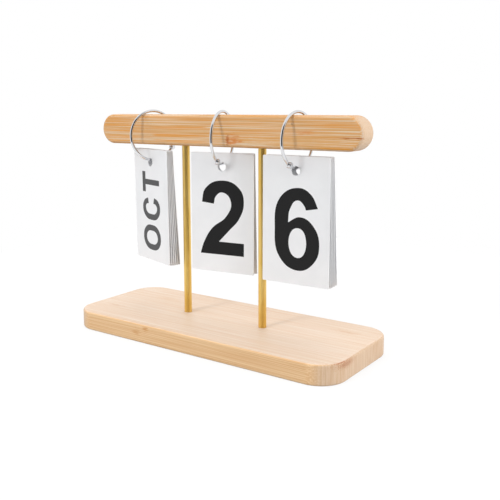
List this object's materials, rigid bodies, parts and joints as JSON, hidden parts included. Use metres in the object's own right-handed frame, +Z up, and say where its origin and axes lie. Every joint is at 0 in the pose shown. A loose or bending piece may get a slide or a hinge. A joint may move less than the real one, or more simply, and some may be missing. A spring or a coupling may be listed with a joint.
{
  "type": "perpetual desk calendar",
  "caption": "Desk calendar: punched month and date leaves hang on hinged snap rings from a round-ended bamboo bar on two brass posts over a bamboo base board.",
  "frame": {"origin": "centre of the base board's underside", "axes": "+X along the bar to the right, -Y towards the front, where the leaves are read, +Z up"},
  "size_m": [0.2, 0.08, 0.1483],
  "materials": {
    "base_bamboo": "satin pale bamboo",
    "bar_bamboo": "satin carbonised bamboo",
    "post_brass": "satin",
    "ring_steel": "polished nickel plate",
    "leaf_card": "matt white card, printed on both faces"
  },
  "bodies": {
    "stand": {"base_board": "base_bamboo", "left_post": "post_brass", "right_post": "post_brass", "top_bar": "bar_bamboo"},
    "month_ring": {"month_ring_half": "ring_steel", "month_ring_rivet": "ring_steel"},
    "month_gate": {"month_ring_gate": "ring_steel"},
    "month_leaf_3": {"month_leaf_3": "leaf_card"},
    "month_leaf_2": {"month_leaf_2": "leaf_card"},
    "month_leaf_1": {"month_leaf_1": "leaf_card"},
    "month_leaf_4": {"month_leaf_4": "leaf_card"},
    "month_leaf_5": {"month_leaf_5": "leaf_card"},
    "month_leaf_6": {"month_leaf_6": "leaf_card"},
    "tens_ring": {"tens_ring_half": "ring_steel", "tens_ring_rivet": "ring_steel"},
    "tens_gate": {"tens_ring_gate": "ring_steel"},
    "tens_leaf_1": {"tens_leaf_1": "leaf_card"},
    "tens_leaf_2": {"tens_leaf_2": "leaf_card"},
    "units_ring": {"units_ring_half": "ring_steel", "units_ring_rivet": "ring_steel"},
    "units_gate": {"units_ring_gate": "ring_steel"},
    "units_leaf_2": {"units_leaf_2": "leaf_card"},
    "units_leaf_1": {"units_leaf_1": "leaf_card"},
    "units_leaf_3": {"units_leaf_3": "leaf_card"},
    "units_leaf_4": {"units_leaf_4": "leaf_card"},
    "units_leaf_5": {"units_leaf_5": "leaf_card"}
  },
  "joints": [
    {"name": "month_ring_slide", "type": "slide", "parent": "stand", "child": "month_ring", "axis": [1, 0, 0], "range_m": [-0.025, 0.0025]},
    {"name": "month_gate_hinge", "type": "hinge", "parent": "month_ring", "child": "month_gate", "pos_m": [-0.05338, 0.01342, 0.12248], "axis": [-0.9367, 0.3502, 0], "range_deg": [0, 75]},
    {"name": "month_leaf_3_hinge", "type": "hinge", "parent": "month_ring", "child": "month_leaf_3", "pos_m": [-0.05842, -0.00006, 0.12236], "axis": [-0.9367, 0.3502, 0], "range_deg": [0, 20]},
    {"name": "month_leaf_2_hinge", "type": "hinge", "parent": "month_leaf_3", "child": "month_leaf_2", "pos_m": [-0.0587, -0.00082, 0.12244], "axis": [-0.9367, 0.3502, 0], "range_deg": [0, 20]},
    {"name": "month_leaf_1_hinge", "type": "hinge", "parent": "month_leaf_2", "child": "month_leaf_1", "pos_m": [-0.05899, -0.00159, 0.12258], "axis": [-0.9367, 0.3502, 0], "range_deg": [0, 20]},
    {"name": "month_leaf_4_hinge", "type": "hinge", "parent": "month_ring", "child": "month_leaf_4", "pos_m": [-0.05843, -0.0001, 0.1208], "axis": [-0.9367, 0.3502, 0], "range_deg": [-20, 0]},
    {"name": "month_leaf_5_hinge", "type": "hinge", "parent": "month_leaf_4", "child": "month_leaf_5", "pos_m": [-0.05838, 0.00002, 0.12118], "axis": [-0.9367, 0.3502, 0], "range_deg": [-20, 0]},
    {"name": "month_leaf_6_hinge", "type": "hinge", "parent": "month_leaf_5", "child": "month_leaf_6", "pos_m": [-0.05791, 0.00127, 0.12108], "axis": [-0.9367, 0.3502, 0], "range_deg": [-20, 0]},
    {"name": "tens_ring_slide", "type": "slide", "parent": "stand", "child": "tens_ring", "axis": [1, 0, 0], "range_m": [-0.0025, 0.005]},
    {"name": "tens_gate_hinge", "type": "hinge", "parent": "tens_ring", "child": "tens_gate", "pos_m": [0.00148, -0.00763, 0.11596], "axis": [0.9816, 0.1908, 0], "range_deg": [0, 75]},
    {"name": "tens_leaf_1_hinge", "type": "hinge", "parent": "tens_ring", "child": "tens_leaf_1", "pos_m": [-0.00006, 0.0003, 0.12335], "axis": [0.9816, 0.1908, 0], "range_deg": [-60, 0]},
    {"name": "tens_leaf_2_hinge", "type": "hinge", "parent": "tens_ring", "child": "tens_leaf_2", "pos_m": [0.00011, -0.00065, 0.12417], "axis": [0.9816, 0.1908, 0], "range_deg": [0, 60]},
    {"name": "units_ring_slide", "type": "slide", "parent": "stand", "child": "units_ring", "axis": [1, 0, 0], "range_m": [0, 0.03]},
    {"name": "units_gate_hinge", "type": "hinge", "parent": "units_ring", "child": "units_gate", "pos_m": [0.05437, -0.00826, 0.11615], "axis": [-0.9986, 0.0523, 0], "range_deg": [-75, 0]},
    {"name": "units_leaf_2_hinge", "type": "hinge", "parent": "units_ring", "child": "units_leaf_2", "pos_m": [0.05522, 0.00024, 0.12255], "axis": [-0.9986, 0.0523, 0], "range_deg": [0, 25]},
    {"name": "units_leaf_1_hinge", "type": "hinge", "parent": "units_leaf_2", "child": "units_leaf_1", "pos_m": [0.05514, -0.00111, 0.1223], "axis": [-0.9986, 0.0523, 0], "range_deg": [0, 25]},
    {"name": "units_leaf_3_hinge", "type": "hinge", "parent": "units_ring", "child": "units_leaf_3", "pos_m": [0.05522, -0.00019, 0.12175], "axis": [-0.9986, 0.0523, 0], "range_deg": [-20, 0]},
    {"name": "units_leaf_4_hinge", "type": "hinge", "parent": "units_leaf_3", "child": "units_leaf_4", "pos_m": [0.05525, 0.00006, 0.12198], "axis": [-0.9986, 0.0523, 0], "range_deg": [-20, 0]},
    {"name": "units_leaf_5_hinge", "type": "hinge", "parent": "units_leaf_4", "child": "units_leaf_5", "pos_m": [0.05533, 0.00135, 0.12204], "axis": [-0.9986, 0.0523, 0], "range_deg": [-20, 0]}
  ]
}
